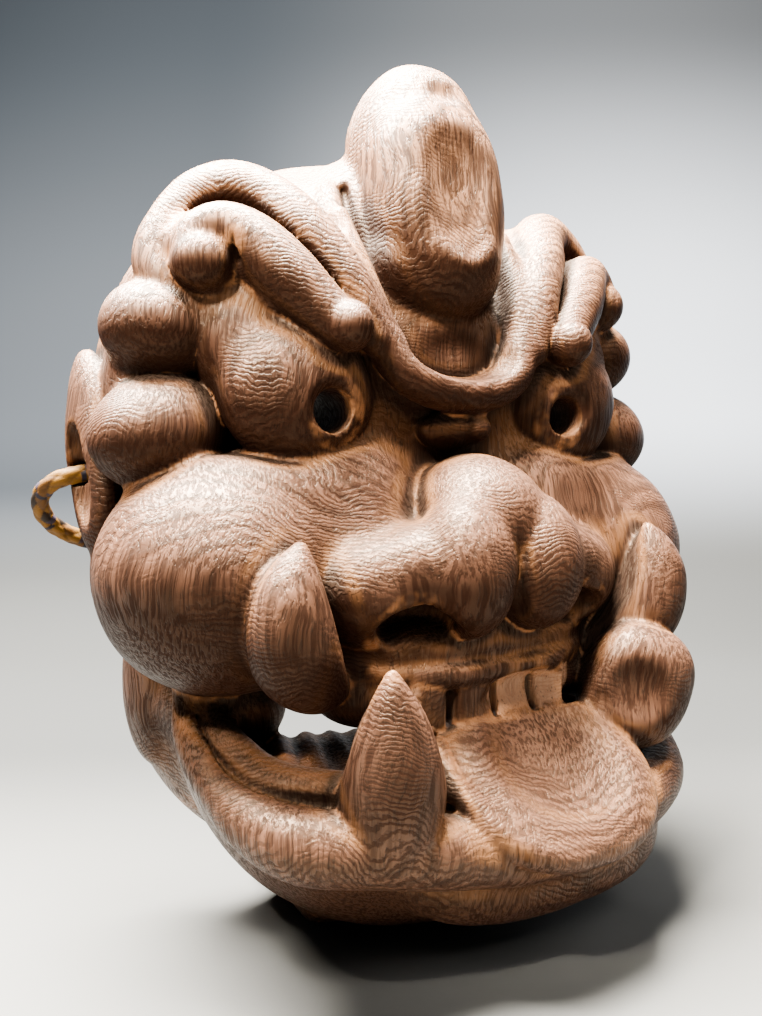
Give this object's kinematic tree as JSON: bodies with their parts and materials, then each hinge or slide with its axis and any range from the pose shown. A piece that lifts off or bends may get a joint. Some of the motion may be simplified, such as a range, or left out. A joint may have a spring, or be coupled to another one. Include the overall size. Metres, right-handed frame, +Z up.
{
  "type": "noh mask",
  "caption": "Carved wooden demon mask with a scroll horn, bulging eyes, tusks and a hanging tongue, hollow at the back, with a braided cord looped through the ears.",
  "frame": {"origin": "bottom centre of the carved mask, on the flat underside of its jaw", "axes": "+Z up from the jaw to the horn, -Y the way the face looks, +X to the viewer's right"},
  "size_m": [0.1636, 0.095, 0.1979],
  "materials": {
    "carved_wood": "waxed, figured ring-porous wood, darker in the hollows",
    "braided_cord": "braided silk-like cord, golden yellow with dark bands"
  },
  "bodies": {
    "root": {"carved_mask": "carved_wood", "left_ear_loop": "braided_cord", "right_ear_loop": "braided_cord", "hanging_cord": "braided_cord", "left_knot": "braided_cord", "right_knot": "braided_cord"}
  },
  "joints": []
}
